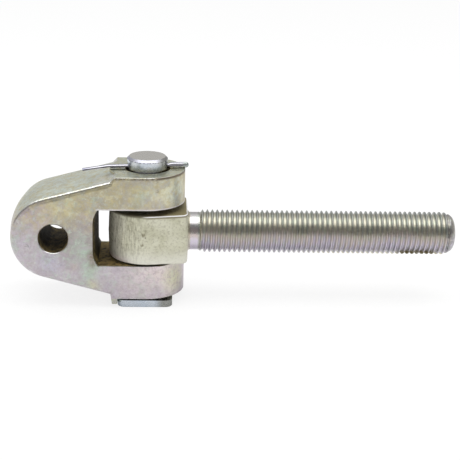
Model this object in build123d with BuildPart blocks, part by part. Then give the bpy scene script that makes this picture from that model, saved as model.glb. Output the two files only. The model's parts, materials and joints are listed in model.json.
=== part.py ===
from build123d import *
import os
from math import cos, isclose, radians, sin, sqrt, tan

os.makedirs("parts", exist_ok=True)

# Clevis rod end: a forged fork carries an eye bolt on a headed pin, and a split pin keeps
# the headed pin in place.
#
# Frame: the origin is the centre of the fork's cross bore. +X runs along the threaded rod,
# Y along the cross bore and +Z up the headed pin. Sizes are in millimetres and degrees.

# ---------------------------------------------------------------- fork sizes
fork_width = 52.0  # along the cross bore
slot_gap = 40.2  # between the ears
slot_rise = 0.5  # the slot's mid height above the fork's
pad_height = 43.5  # machined ear pads, above and below the fork's mid height
bore_dia = 20.0  # cross bore in the nose
bore_to_pin = 63.0  # cross bore axis to headed pin axis
nose_radius = 28.6  # side outline of the nose, at the flat faces
flank_angle = 15.2  # the flanks open from the nose towards the ears
fork_draft = 5.7  # forging draft, from the parting plane Y = 0 to the flat faces
crown_radius = 120.0  # across the body, where the flash was ground off
fork_edge = 1.7  # rounding of the forged outer edges
pad_edge = 0.5  # rounding of the machined ears' edges
slot_depth = 33.2  # headed pin axis to the slot's end wall
pad_length = 21.5  # machined ear pads, back from the headed pin axis
shoulder_run = 3.1  # length of the slope between pad and flank
shoulder_edge = 2.0  # rounding between pad and slope
stop_reach = 19.9  # headed pin axis to the stop rib under the lower pad
stop_width = 3.6
stop_height = 3.8
window_depth = 3.3  # forged window in the slot's end wall, at the flat faces
window_margin = 0.2  # from each side of the slot to the window
window_draft = 6.6
window_corner = 18.0  # the corner arcs run out at the slot's end wall
pin_hole_chamfer = 0.4
bore_chamfer = 0.7

# ---------------------------------------------------------------- eye bolt sizes
eye_radius = 27.0  # about the headed pin, at the parting plane
eye_draft = 2.5  # from mid height to the flat faces
eye_end = 28.8  # headed pin axis to the flat end behind the neck
eye_taper = 11.5  # the eye's sides close in towards the rod
eye_corner = 5.5
eye_edge = 1.6
rod_drop = 0.6  # the rod's axis sits a little low in the eye
neck_dia = 26.4
neck_end = 35.4  # headed pin axis to the thread's run-out
runout_length = 1.8
thread_dia = 30.0  # M30 x 3.5, drawn plain at its outside diameter
rod_end = 216.4  # headed pin axis to the free end
rod_chamfer_length = 7.0
rod_chamfer_depth = 3.0
rod_end_edge = 6.0

# ---------------------------------------------------------------- headed pin sizes
pin_dia = 28.0
pin_top = 52.0  # above the fork's mid height
pin_chamfer = 1.6
head_length = 37.8  # along X
head_width = 49.2  # along Y
head_thickness = 5.0
head_corner = 5.0
head_edge = 0.6

# ---------------------------------------------------------------- split pin sizes
wire_radius = 1.6  # half-round wire
split_turn = 7.0  # turn of the cross hole about the headed pin, from +X
split_offset = 1.8  # the cross hole passes the headed pin's axis on the -Y side
loop_rise_run = 2.4  # where the wire opens into its loop
loop_length = 9.6
loop_opening = 0.6
long_leg = 44.2  # split pin's middle to each tip
short_leg = 25.5
leg_bend = 7.5  # the long leg bends down past the short one
wire_bend_radius = 4.0

# ---------------------------------------------------------------- clearances
eye_running = 0.08  # radial, between headed pin and eye
ear_running = 1.3  # radial, between headed pin and ears
eye_seat_gap = 0.3  # between the lower ear and the eye
eye_top_gap = 3.9  # between the eye and the upper ear
head_slack = 1.5  # between the lower pad and the head
head_stop_gap = 0.1  # between the stop rib and the head
split_seat_gap = 0.05  # between the upper pad and the split pin
split_hole_slack = 0.48  # on the diameter, between the cross hole and the split pin
wire_gap = 0.12  # between the split pin's legs
loop_stand_off = 0.6  # between the headed pin and the split pin's loop
bend_stand_off = 1.0  # between the short leg's tip and the long leg's bend

# ---------------------------------------------------------------- derived sizes and places
half_width = fork_width / 2
slot_bottom = slot_rise - slot_gap / 2
window_height = slot_gap - 2 * window_margin
window_arc_rise = sqrt(window_corner**2 - (window_corner - window_depth) ** 2)
window_outline_height = window_height + 2 * (window_corner - window_arc_rise)
window_run = window_depth + slot_depth + half_width
pin_hole_radius = pin_dia / 2 + ear_running
flank_slope = tan(radians(flank_angle))
pin_origin = (bore_to_pin, 0, 0)
pin_plane = Plane.XY.shift_origin(pin_origin)
side_plane = Plane.XZ.shift_origin(pin_origin)  # local x runs along X, local y along Z


def flank_height(distance, radius):
    """Half height of a side outline with the given nose radius, at a distance behind the pin."""
    return radius / cos(radians(flank_angle)) + (bore_to_pin - distance) * flank_slope


def round_edges(builder, radius):
    """Full and part circles with that radius."""
    circles = builder.edges().filter_by(GeomType.CIRCLE)
    return circles.filter_by(lambda circle: isclose(circle.radius, radius, abs_tol=0.001))


# ---------------------------------------------------------------- fork head
parting_radius = nose_radius + half_width * tan(radians(fork_draft))
body_end = pad_length - shoulder_run
body_end_height = flank_height(body_end, parting_radius)
shoulder_foot = pad_length + shoulder_run
foot_height = flank_height(shoulder_foot, nose_radius)
stop_bottom = -pad_height - stop_height

# Ears: machined pads with round ends, a slope down to each flank, and the stop rib that
# keeps the headed pin from turning.
with BuildPart() as ears:
    with BuildSketch(side_plane):
        with BuildLine():
            Polyline(
                (0, pad_height),
                (-pad_length, pad_height),
                (-shoulder_foot, foot_height),
                (-shoulder_foot, -foot_height),
                (-stop_reach - stop_width, stop_bottom),
                (-stop_reach, stop_bottom),
                (-stop_reach, -pad_height),
                (0, -pad_height),
                close=True,
            )
        make_face()
    extrude(amount=half_width, both=True)
    shoulder = edges().filter_by(Axis.Y).group_by(Axis.Z)[-1].sort_by(Axis.X)[0]
    fillet(shoulder, shoulder_edge)
    with BuildSketch(pin_plane.offset(-pad_height)):
        Circle(half_width)
    extrude(amount=2 * pad_height)
    # The tangent seam where the round ear ends begin is no edge of the real piece.
    outline = faces().filter_by(Axis.Y).edges()
    seams = outline.filter_by(Axis.Z).group_by(Axis.X)[-1]
    fillet(outline - seams, pad_edge)

with BuildPart() as fork_head:
    # Forged body: the side outline at the parting plane, drawn out both ways with draft. The
    # flash is ground off the parting line, which leaves a gentle crown.
    with BuildSketch(side_plane):
        with BuildLine():
            nose = CenterArc((-bore_to_pin, 0), parting_radius, 90 + flank_angle, 180 - 2 * flank_angle)
            Polyline(nose @ 0, (-body_end, body_end_height), (-body_end, -body_end_height), nose @ 1)
        make_face()
    extrude(amount=half_width, both=True, taper=fork_draft)
    parting_line = edges().filter_by_position(Axis.Y, -0.01, 0.01).sort_by(Axis.X)[:-1]
    fillet(parting_line, crown_radius)
    # The pads are milled flat, so the crown ends at their height.
    with BuildSketch(side_plane):
        Rectangle(2 * (bore_to_pin + parting_radius), 2 * pad_height)
    extrude(amount=half_width, both=True, mode=Mode.INTERSECT)
    body_end_edge = faces().filter_by(Axis.Y).edges().filter_by(Axis.Z)
    fillet(faces().filter_by(Axis.Y).edges() - body_end_edge, fork_edge)
    add(ears.part)
    # Slot between the ears, milled from the free end to its flat end wall.
    with BuildSketch(side_plane):
        with Locations((-slot_depth, slot_rise)):
            Rectangle(slot_depth + 2 * half_width, slot_gap, align=(Align.MIN, Align.CENTER))
    extrude(amount=half_width, both=True, mode=Mode.SUBTRACT)
    # Forged window in the end wall: it narrows with draft from each flat face to Y = 0.
    for outward in (1, -1):
        with BuildSketch(side_plane.offset(outward * half_width)):
            with Locations((-slot_depth - window_depth, slot_rise)):
                left_middle = (Align.MIN, Align.CENTER)
                RectangleRounded(window_run, window_outline_height, window_corner, align=left_middle)
                Rectangle(window_run, window_height, align=left_middle, mode=Mode.INTERSECT)
        extrude(amount=-outward * half_width, taper=window_draft, mode=Mode.SUBTRACT)
    # Holes for the headed pin, in line through both ears.
    with BuildSketch(pin_plane.offset(-pad_height)):
        Circle(pin_hole_radius)
    extrude(amount=2 * pad_height, mode=Mode.SUBTRACT)
    chamfer(round_edges(fork_head, pin_hole_radius), pin_hole_chamfer)
    # Cross bore through the nose.
    with BuildSketch(Plane.XZ):
        Circle(bore_dia / 2)
    extrude(amount=half_width, both=True, mode=Mode.SUBTRACT)
    chamfer(round_edges(fork_head, bore_dia / 2), bore_chamfer)
fork_head.part.label = "fork_head"
export_step(fork_head.part, "parts/fork_head.step")

# ---------------------------------------------------------------- eye bolt
eye_height = slot_gap - eye_seat_gap - eye_top_gap
eye_middle = slot_bottom + eye_seat_gap + eye_height / 2
eye_plane = pin_plane.offset(eye_middle)
rod_height = eye_middle - rod_drop
rod_plane = Plane.XZ.shift_origin((bore_to_pin, 0, rod_height))
taper_sine = sin(radians(eye_taper))
taper_cosine = cos(radians(eye_taper))
eye_end_half = eye_radius * taper_cosine - (eye_end - eye_radius * taper_sine) * taper_sine / taper_cosine

with BuildPart() as eye_bolt:
    # Forged eye: round about the headed pin, with sides that close in towards the neck.
    with BuildSketch(eye_plane):
        with BuildLine():
            ring = CenterArc((0, 0), eye_radius, 90 - eye_taper, 180 + 2 * eye_taper)
            Polyline(ring @ 1, (eye_end, -eye_end_half), (eye_end, eye_end_half), ring @ 0)
        make_face()
        corners = vertices().group_by(Axis.X)[-1]
        fillet(corners, eye_corner)
    extrude(amount=eye_height / 2, both=True, taper=eye_draft)
    fillet(eye_bolt.faces().filter_by(Axis.Z).edges(), eye_edge)
    # Neck and threaded rod, turned about the rod's axis.
    with BuildSketch(rod_plane):
        with BuildLine():
            Polyline(
                (0, 0),
                (0, neck_dia / 2),
                (neck_end, neck_dia / 2),
                (neck_end + runout_length, thread_dia / 2),
                (rod_end - rod_chamfer_length, thread_dia / 2),
                (rod_end, thread_dia / 2 - rod_chamfer_depth),
                (rod_end, 0),
                close=True,
            )
        make_face()
    revolve(axis=Axis((0, 0, rod_height), (1, 0, 0)))
    fillet(eye_bolt.edges().filter_by(GeomType.CIRCLE).sort_by(Axis.X)[-1], rod_end_edge)
    # Bore for the headed pin.
    with BuildSketch(eye_plane.offset(-eye_height / 2)):
        Circle(pin_dia / 2 + eye_running)
    extrude(amount=eye_height, mode=Mode.SUBTRACT)
eye_bolt.part.label = "eye_bolt"
export_step(eye_bolt.part, "parts/eye_bolt.step")

# ---------------------------------------------------------------- headed pin
head_top = -pad_height - head_slack
split_hole_dia = 2 * wire_radius + wire_gap + split_hole_slack
split_height = pad_height + split_seat_gap + wire_radius + wire_gap / 2
split_origin = (bore_to_pin, -split_offset, split_height)
split_along = (cos(radians(split_turn)), sin(radians(split_turn)), 0)
split_across = (sin(radians(split_turn)), -cos(radians(split_turn)), 0)

with BuildPart() as clevis_pin:
    with BuildSketch(pin_plane.offset(head_top)):
        Circle(pin_dia / 2)
    extrude(amount=pin_top - head_top)
    chamfer(clevis_pin.edges().group_by(Axis.Z)[-1], pin_chamfer)
    # Flat head, with one side against the fork's stop rib.
    with BuildSketch(pin_plane.offset(head_top)):
        with Locations((head_stop_gap - stop_reach, 0)):
            RectangleRounded(head_length, head_width, head_corner, align=(Align.MIN, Align.CENTER))
    extrude(amount=-head_thickness)
    fillet(clevis_pin.faces().sort_by(Axis.Z)[0].edges(), head_edge)
    # Cross hole for the split pin.
    with BuildSketch(Plane(origin=split_origin, z_dir=split_along)):
        Circle(split_hole_dia / 2)
    extrude(amount=pin_dia, both=True, mode=Mode.SUBTRACT)
clevis_pin.part.label = "clevis_pin"
export_step(clevis_pin.part, "parts/clevis_pin.step")

# ---------------------------------------------------------------- split pin
# One half-round wire, folded at its loop, with its flat sides facing each other. The path
# follows the flat: out along the long leg, round the loop and back along the short leg.
flat_height = wire_gap / 2
loop_height = flat_height + loop_opening
loop_start = pin_dia / 2 + loop_stand_off
loop_turn = loop_start + loop_rise_run + loop_length
leg_bend_start = short_leg + bend_stand_off
tip_drop = (long_leg - leg_bend_start) * tan(radians(leg_bend))
split_plane = Plane(origin=split_origin, x_dir=split_along, z_dir=split_across)

with BuildPart() as split_pin:
    with BuildLine(split_plane):
        upper = FilletPolyline(
            (-long_leg, flat_height - tip_drop),
            (-leg_bend_start, flat_height),
            (loop_start, flat_height),
            (loop_start + loop_rise_run, loop_height),
            (loop_turn, loop_height),
            radius=wire_bend_radius,
        )
        turn = JernArc(upper @ 1, upper % 1, (loop_height + flat_height) / 2, -180)
        Line(turn @ 1, (-short_leg, -flat_height))
    wire_start = Plane(origin=upper @ 0, x_dir=split_across, z_dir=upper % 0)
    with BuildSketch(wire_start):
        Circle(wire_radius)
        Rectangle(2 * wire_radius, wire_radius, align=(Align.CENTER, Align.MIN), mode=Mode.SUBTRACT)
    sweep()
split_pin.part.label = "split_pin"
export_step(split_pin.part, "parts/split_pin.step")
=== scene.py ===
import json
import math

import bmesh
import bpy
from mathutils import Matrix, Vector, noise


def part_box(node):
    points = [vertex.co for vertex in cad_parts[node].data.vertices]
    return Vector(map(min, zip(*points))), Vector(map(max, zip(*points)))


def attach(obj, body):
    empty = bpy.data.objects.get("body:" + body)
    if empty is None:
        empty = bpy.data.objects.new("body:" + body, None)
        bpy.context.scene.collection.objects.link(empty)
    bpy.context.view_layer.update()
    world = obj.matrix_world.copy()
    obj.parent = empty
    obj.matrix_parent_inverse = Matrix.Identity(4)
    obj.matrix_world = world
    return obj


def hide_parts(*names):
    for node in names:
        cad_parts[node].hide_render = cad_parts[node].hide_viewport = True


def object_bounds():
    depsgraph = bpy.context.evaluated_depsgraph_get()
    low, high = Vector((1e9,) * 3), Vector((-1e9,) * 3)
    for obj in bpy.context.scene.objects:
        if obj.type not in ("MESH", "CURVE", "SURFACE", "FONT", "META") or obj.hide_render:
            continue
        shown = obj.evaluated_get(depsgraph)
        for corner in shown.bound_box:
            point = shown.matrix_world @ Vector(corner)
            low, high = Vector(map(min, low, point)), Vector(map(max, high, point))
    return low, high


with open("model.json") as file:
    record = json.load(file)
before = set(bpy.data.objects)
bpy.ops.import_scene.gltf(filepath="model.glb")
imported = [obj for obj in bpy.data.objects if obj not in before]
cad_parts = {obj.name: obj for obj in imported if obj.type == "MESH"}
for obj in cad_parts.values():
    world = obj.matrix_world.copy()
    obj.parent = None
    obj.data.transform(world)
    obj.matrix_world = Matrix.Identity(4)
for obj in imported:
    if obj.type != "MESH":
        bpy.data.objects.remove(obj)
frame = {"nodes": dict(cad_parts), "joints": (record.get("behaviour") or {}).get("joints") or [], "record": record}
cad_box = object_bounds()

# ---------------------------------------------------------------- sizes
# Lengths are in metres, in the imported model's frame: the origin is the centre of the cross bore,
# +X runs along the threaded rod and +Z up the headed pin. A name that ends in _mm or _MM is in
# millimetres, which the materials work in.
MM = 0.001
mounts = {mount["name"]: mount for mount in frame["record"]["mounts"]}
rod_mount = mounts["threaded_rod"]
bore_radius_mm = mounts["cross_bore"]["dims"]["r_mm"]
pin_axis_x = frame["joints"][0]["pos_m"][0]
pin_axis_mm = pin_axis_x / MM
pin_top_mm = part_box("clevis_pin")[1].z / MM
pad_height_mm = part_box("fork_head")[1].z / MM
eye_bottom_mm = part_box("eye_bolt")[0].z / MM
eye_top_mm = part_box("eye_bolt")[1].z / MM
rod_end_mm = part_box("eye_bolt")[1].x / MM

NOSE_RADIUS_MM = 28.6  # side outline of the nose, at the flat faces
FLANK_ANGLE = math.radians(15.2)
PAD_LENGTH_MM = 21.5  # machined ear pads, back from the headed pin's axis
SLOT_REACH_MM = 36.5  # headed pin's axis to the back of the slot
EYE_SEAT_GAP_MM = 0.3  # between the lower ear and the eye
EYE_TOP_GAP_MM = 3.9  # between the eye and the upper ear
EYE_REACH_MM = 28.8  # headed pin's axis to the eye's flat end
PIN_RADIUS_MM = 14.0
PIN_CHAMFER_MM = 1.6
EAR_RUNNING_MM = 1.3  # radial, between headed pin and ears

pad_from_mm = pin_axis_mm - PAD_LENGTH_MM
slot_from_mm = pin_axis_mm - SLOT_REACH_MM
slot_bottom_mm = eye_bottom_mm - EYE_SEAT_GAP_MM
slot_top_mm = eye_top_mm + EYE_TOP_GAP_MM
slot_middle_mm = (slot_bottom_mm + slot_top_mm) / 2
slot_half_mm = (slot_top_mm - slot_bottom_mm) / 2
eye_end_mm = pin_axis_mm + EYE_REACH_MM
ear_hole_mm = PIN_RADIUS_MM + EAR_RUNNING_MM
chamfer_foot_mm = pin_top_mm - PIN_CHAMFER_MM

thread_radius_mm = rod_mount["dims"]["r_mm"]
thread_length_mm = rod_mount["dims"]["length_mm"]
thread_start_mm = rod_mount["pos_m"][0] / MM - thread_length_mm / 2
thread_end_mm = thread_start_mm + thread_length_mm
rod_height_mm = rod_mount["pos_m"][2] / MM

# ---------------------------------------------------------------- camera
FIELD_PIXELS = 460
FOCAL_PIXELS = 1168.05
OPTICAL_CENTRE = (235.164, 228.393)  # in the photograph's pixels
CAMERA_TARGET = Vector((0.124695, 0, 0))
CAMERA_DISTANCE = 0.820263
CAMERA_YAW = math.radians(3.835)
CAMERA_PITCH = math.radians(18.942)
CAMERA_ROLL = math.radians(1.847)
NEAREST_SEEN = 0.05
FARTHEST_SEEN = 50


def camera_axes():
    """The camera's own right, up and forward."""
    forward = Vector(
        (
            math.sin(CAMERA_YAW) * math.cos(CAMERA_PITCH),
            math.cos(CAMERA_YAW) * math.cos(CAMERA_PITCH),
            -math.sin(CAMERA_PITCH),
        )
    )
    level_right = Vector((math.cos(CAMERA_YAW), -math.sin(CAMERA_YAW), 0))
    level_up = level_right.cross(forward)
    right = math.cos(CAMERA_ROLL) * level_right + math.sin(CAMERA_ROLL) * level_up
    up = math.cos(CAMERA_ROLL) * level_up - math.sin(CAMERA_ROLL) * level_right
    return right, up, forward


def place_camera():
    """The photograph's viewpoint: a long lens, a little above the part and left of its middle."""
    right, up, forward = camera_axes()
    turn = Matrix((right, up, -forward)).transposed().to_4x4()
    data = bpy.data.cameras.new("camera")
    data.lens = FOCAL_PIXELS * data.sensor_width / FIELD_PIXELS
    data.shift_x = 0.5 - OPTICAL_CENTRE[0] / FIELD_PIXELS
    data.shift_y = OPTICAL_CENTRE[1] / FIELD_PIXELS - 0.5
    data.clip_start = NEAREST_SEEN
    data.clip_end = FARTHEST_SEEN
    camera = bpy.data.objects.new("camera", data)
    camera.matrix_world = Matrix.Translation(CAMERA_TARGET - forward * CAMERA_DISTANCE) @ turn
    bpy.context.scene.collection.objects.link(camera)
    bpy.context.scene.camera = camera


# ---------------------------------------------------------------- node graphs
MIX_FIRST = 6  # the Mix node's colour inputs, and its colour output
MIX_SECOND = 7
MIX_RESULT = 2
NOISE_MIDDLE = (0.3, 0.7)  # the noise seldom goes past these
NON_METAL_GLOSS = 0.2  # specular level where the surface is not fully metallic


class Graph:
    """A material's or world's node tree, with short calls for the nodes used here."""

    def __init__(self, tree):
        self.tree = tree
        tree.nodes.clear()

    def node(self, kind, settings=None, **values):
        """A node whose settings are attributes, and whose values go to its sockets by name."""
        made = self.tree.nodes.new("ShaderNode" + kind)
        for name, value in (settings or {}).items():
            setattr(made, name, value)
        for name, value in values.items():
            self.put(made.inputs[name.replace("_", " ")], value)
        return made

    def put(self, socket, value):
        """A constant, or a link from another node's output."""
        if isinstance(value, bpy.types.NodeSocket):
            self.tree.links.new(value, socket)
        else:
            socket.default_value = value

    def math(self, operation, *values, clamp=False):
        made = self.node("Math", {"operation": operation, "use_clamp": clamp})
        for socket, value in zip(made.inputs, values):
            self.put(socket, value)
        return made.outputs[0]

    def vector(self, operation, *values, output="Vector"):
        made = self.node("VectorMath", {"operation": operation})
        for socket, value in zip(made.inputs, values):
            self.put(socket, value)
        return made.outputs[output]

    def total(self, *values):
        result = values[0]
        for value in values[1:]:
            result = self.math("ADD", result, value)
        return result

    def product(self, *values):
        result = values[0]
        for value in values[1:]:
            result = self.math("MULTIPLY", result, value)
        return result

    def difference(self, first, second):
        return self.math("SUBTRACT", first, second)

    def size(self, value):
        """A value without its sign."""
        return self.math("ABSOLUTE", value)

    def from_axis(self, first, second):
        """How far a point is from an axis, from its two distances square to that axis."""
        return self.math("SQRT", self.total(self.product(first, first), self.product(second, second)))

    def ramp(self, value, low, high, start, end):
        """Smooth step from start to end while value goes from low to high."""
        made = self.node("MapRange", {"interpolation_type": "SMOOTHSTEP"}, Value=value)
        for name, limit in zip(("From Min", "From Max", "To Min", "To Max"), (low, high, start, end)):
            self.put(made.inputs[name], limit)
        return made.outputs[0]

    def rise(self, value, low, high, most=1.0):
        """0 below low, growing to most at high."""
        return self.ramp(value, low, high, 0.0, most)

    def fall(self, value, low, high, most=1.0):
        """The most below low, fading to 0 at high."""
        return self.ramp(value, low, high, most, 0.0)

    def between(self, share, first, second):
        """The first value where share is 0, and the second where it is 1."""
        return self.ramp(share, 0.0, 1.0, first, second)

    def mix(self, factor, first, second):
        """Blend of two colours."""
        made = self.node("Mix", {"data_type": "RGBA"}, Factor=factor)
        self.put(made.inputs[MIX_FIRST], first)
        self.put(made.inputs[MIX_SECOND], second)
        return made.outputs[MIX_RESULT]

    def tint(self, film, colour_over, *shares):
        """A film with another colour over it, as strong as the product of the shares."""
        return self.mix(self.product(*shares), film, colour_over)


class Metal(Graph):
    """A metal's material, with the point on the piece in millimetres and the way its surface faces."""

    def __init__(self, name, origin_mm=(0, 0, 0)):
        self.material = bpy.data.materials.new(name)
        self.material.use_nodes = True
        super().__init__(self.material.node_tree)
        here = self.vector("MULTIPLY", self.node("TexCoord").outputs["Object"], (1 / MM, 1 / MM, 1 / MM))
        facing = self.node("TexCoord").outputs["Normal"]
        self.place = self.vector("SUBTRACT", here, origin_mm)
        self.x, self.y, self.z = self.node("SeparateXYZ", Vector=self.place).outputs
        self.facing_x, self.facing_y, self.facing_z = self.node("SeparateXYZ", Vector=facing).outputs

    def noise(self, per_mm, detail=3, roughness=0.55, distortion=0.0, place=None):
        """Cloudy values from 0 to 1, at a scale to the millimetre."""
        made = self.node(
            "TexNoise",
            Vector=self.place if place is None else place,
            Scale=per_mm,
            Detail=detail,
            Roughness=roughness,
            Distortion=distortion,
        )
        return made.outputs["Fac"]

    def cloudy(self, least, most, **grain):
        """Values that drift from least to most with the noise."""
        return self.ramp(self.noise(**grain), *NOISE_MIDDLE, least, most)

    def patches(self, low, high, most=1.0, **grain):
        """Patches where the noise is above low, at their strongest from high on."""
        return self.rise(self.noise(**grain), low, high, most)

    def cells(self, per_mm):
        """Distance to the nearest of scattered points, in cell widths."""
        return self.node("TexVoronoi", Vector=self.place, Scale=per_mm).outputs["Distance"]

    def spot(self, centre, radius, softness, place=None):
        """1 inside a ball and 0 outside it."""
        here = self.place if place is None else place
        from_centre = self.vector("DISTANCE", here, centre, output="Value")
        return self.fall(from_centre, radius - softness, radius + softness)

    def finish(self, film, roughness, height_mm, metal_share=1.0):
        """The surface's colour, roughness, height in millimetres and how metallic it is."""
        bump = self.node("Bump", Strength=1.0, Distance=MM, Height=height_mm)
        shader = self.node(
            "BsdfPrincipled",
            Metallic=metal_share,
            Specular_IOR_Level=NON_METAL_GLOSS,
            Base_Color=film,
            Roughness=roughness,
            Normal=bump.outputs["Normal"],
        )
        output = self.node("OutputMaterial")
        self.put(output.inputs["Surface"], shader.outputs[0])
        return self.material


def colour(red, green, blue):
    """A colour as the nodes take it, in linear light and opaque."""
    return (red, green, blue, 1.0)


def paint(piece, material):
    piece.data.materials.clear()
    piece.data.materials.append(material)


# ---------------------------------------------------------------- forged skin
WAVE_MM = 0.7
DIMPLE_MM = 0.26
GRAIN_MM = 0.042
PIT_MM = 0.06
NICK_RAGGED_MM = 4.0
NICK_SOFTNESS = 0.8  # of a nick's radius

PIT_BROWN = colour(0.22, 0.18, 0.10)


def forged_height(metal):
    """Shot-blasted forging: soft waves, hammered dimples, fine grain and small pits, in millimetres."""
    waves = metal.product(metal.noise(per_mm=0.06, detail=2), WAVE_MM)
    dimples = metal.product(metal.noise(per_mm=0.28, roughness=0.65), DIMPLE_MM)
    grain = metal.product(metal.noise(per_mm=1.4, roughness=0.6), GRAIN_MM)
    pits = metal.ramp(metal.cells(per_mm=0.17), 0.03, 0.12, -PIT_MM, 0.0)
    return metal.total(waves, dimples, grain, pits)


def nicks(metal, marks):
    """The summed height of small ragged nicks, in millimetres."""
    drift = metal.node("TexNoise", Vector=metal.place, Scale=0.9, Detail=2.0).outputs["Color"]
    either_way = metal.vector("SUBTRACT", drift, (0.5, 0.5, 0.5))
    offset = metal.vector("MULTIPLY", either_way, (NICK_RAGGED_MM, NICK_RAGGED_MM, NICK_RAGGED_MM))
    ragged = metal.vector("ADD", metal.place, offset)
    heights = []
    for centre, radius, height in marks:
        inside = metal.spot(centre, radius, radius * NICK_SOFTNESS, ragged)
        heights.append(metal.product(inside, height))
    return metal.total(*heights)


# ---------------------------------------------------------------- fork
BRIGHT_ZINC = colour(0.86, 0.83, 0.85)
DEEP_LILAC = colour(0.52, 0.45, 0.54)
DEEP_STRAW = colour(0.60, 0.52, 0.28)
OLIVE = colour(0.54, 0.49, 0.35)
STRAW = colour(0.72, 0.66, 0.42)
LILAC = colour(0.63, 0.57, 0.63)
MAUVE = colour(0.47, 0.43, 0.43)
DARK_MAUVE = colour(0.39, 0.355, 0.345)
DUSTY_ROSE = colour(0.60, 0.51, 0.50)
ROSE = colour(0.88, 0.77, 0.77)
MINT = colour(0.56, 0.69, 0.57)
BLUE_LILAC = colour(0.62, 0.60, 0.72)
PALE_GREEN = colour(0.75, 0.80, 0.72)
PALE_STRAW = colour(0.80, 0.78, 0.57)
PAD_GREY = colour(0.62, 0.66, 0.58)
PAD_OLIVE = colour(0.64, 0.64, 0.44)
GRIME_AND_SHADE = colour(0.18, 0.135, 0.10)
RECESS_SHADE_BROWN = colour(0.035, 0.027, 0.014)
RECESS_SHADE_OLIVE = colour(0.22, 0.165, 0.065)
SLOT_FLOOR_SHADE_BROWN = colour(0.31, 0.225, 0.085)
END_WALL_SHADE_BLACK = colour(0.016, 0.012, 0.005)
HOLE_SHADE_GREY = colour(0.30, 0.29, 0.33)

# Where the coloured film shows on the fork's front: centre in mm, radius in mm, colour, strength.
FILM_PATCHES = (
    ((15, -25, 2), 17, DARK_MAUVE, 1.0),
    ((9, -25, -14), 9, MAUVE, 0.4),
    ((-5, -25, -22), 9, MAUVE, 0.35),
    ((-12, -25, 17), 12, DUSTY_ROSE, 0.8),
    ((-22, -25, -2), 8, BLUE_LILAC, 0.5),
    ((63, -25, 30), 7, MINT, 0.6),
    ((76, -25, 25), 4, MINT, 0.5),
    ((-22, -25, 2), 9, LILAC, 0.7),
    ((17, -25, 5), 5, PALE_GREEN, 0.2),
    ((26, -25, -27), 8, MINT, 0.7),
    ((27, -25, -33), 4, STRAW, 0.6),
    ((17, -25, -4), 6, MINT, 0.4),
    ((18, -25, -14), 6, MINT, 0.35),
    ((9, -25, -24), 7, LILAC, 0.9),
    ((-2, -25, -17), 7, BLUE_LILAC, 0.8),
    ((-19, -25, 16), 8, DEEP_LILAC, 0.5),
    ((22, -25, -9), 3.5, MINT, 0.8),
    ((24, -25, -21), 4.5, MINT, 0.8),
    ((34, -25, -28), 6, LILAC, 0.8),
    ((14, -25, -20), 3, DUSTY_ROSE, 0.7),
    ((8, -25, 24), 8, STRAW, 0.5),
    # painted shade: this patch and the next, dark beside the slot's window
    ((27, -25, -12), 3.5, PIT_BROWN, 0.9),
    ((27, -25, -18), 3, PIT_BROWN, 0.7),
    ((9, -25, 22), 11, STRAW, 0.45),
    ((30, -25, 26), 9, OLIVE, 0.6),
    # painted light: this rose patch makes the lower ear's front lighter than the upper ear's, which faces the same
    # way
    ((69, -25, -28), 17, ROSE, 1.0),
    ((62, -25, -36), 9, LILAC, 0.4),
    ((71, -25, -39), 6, LILAC, 0.6),
    ((70, -25, 24), 9, DUSTY_ROSE, 0.7),
    ((68, -25, 39), 5, MAUVE, 0.5),
    ((23, -25, 14), 6, DUSTY_ROSE, 0.5),
    ((19, -25, 6), 7, MAUVE, 0.5),
    ((77, -22, 33), 10, PALE_STRAW, 0.9),
    ((85, -20, -30), 9, PALE_STRAW, 1.0),
    ((87, -18, 30), 8, PALE_GREEN, 1.0),
)
PATCH_SOFTNESS = 0.9  # of a patch's radius
# Nicks in the fork's skin: centre in mm, radius in mm, height of the raised lip in mm.
FORK_NICKS = (
    ((-17.5, -25, -5.5), 1.3, 0.25),
    ((-23.8, -25, -12.1), 0.8, -0.25),
    ((5, -25, -18.3), 1.1, -0.18),
    ((69, -25, -22.5), 1.5, -0.15),
    ((73, -24, -23.5), 1.2, 0.15),
    ((71, -25, 34), 0.7, -0.2),
    ((86.6, -20, 34.6), 0.8, -0.2),
    ((-7, -24, 29), 1.2, -0.3),
    ((70, -25, 41.5), 1.0, -0.15),
    ((74, -25, 40.5), 0.8, -0.12),
)
FILM_DRIFT_MM = 50.0
EDGE_RAGGED_MM = 1.2
EDGE_REACH_MM = 4.4  # how far in the forged edges' fall begins
PAD_EDGE_REACH_MM = 2.6
EDGE_FLAT_SHARE = 0.36  # of that reach, where the fall has ended
NOSE_EDGE_FALL_MM = 0.16
BODY_EDGE_FALL_MM = 0.32
PAD_EDGE_FALL_MM = 0.18
FORK_ROUGHNESS = (0.34, 0.46)
EDGE_ROUGHNESS = 0.30
RECESS_ROUGHNESS = 0.70
# less metallic where shade is painted into the recesses
RECESS_METAL_SHARE = 0.15
SLOT_RIM_HIGHLIGHT = 0.8
GRIME_COVER = 0.85
# Bands across the fork, from and to, in mm.
OLIVE_HEIGHT_MM = (12.0, 46.0)  # with the drift added
STRAW_HEIGHT_MM = (-5.0, 20.0)
FEWER_VEINS_MM = (30.0, 50.0)
NOSE_EDGE_MM = (-30.0, -6.0)
RUBBED_PAST_NOSE_MM = (-24.0, -10.0)
DARK_RIM_MM = (0.8, 2.4)  # in from the rim
DARKER_END_MM = (66.0, 76.0)
UPPER_HALF_MM = (0.0, 10.0)
BEHIND_FACE_MM = (24.2, 25.4)
DEEP_BEHIND_MM = (-21.0, -13.0)
BESIDE_PIN_MM = (6.0, 11.0)


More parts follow.
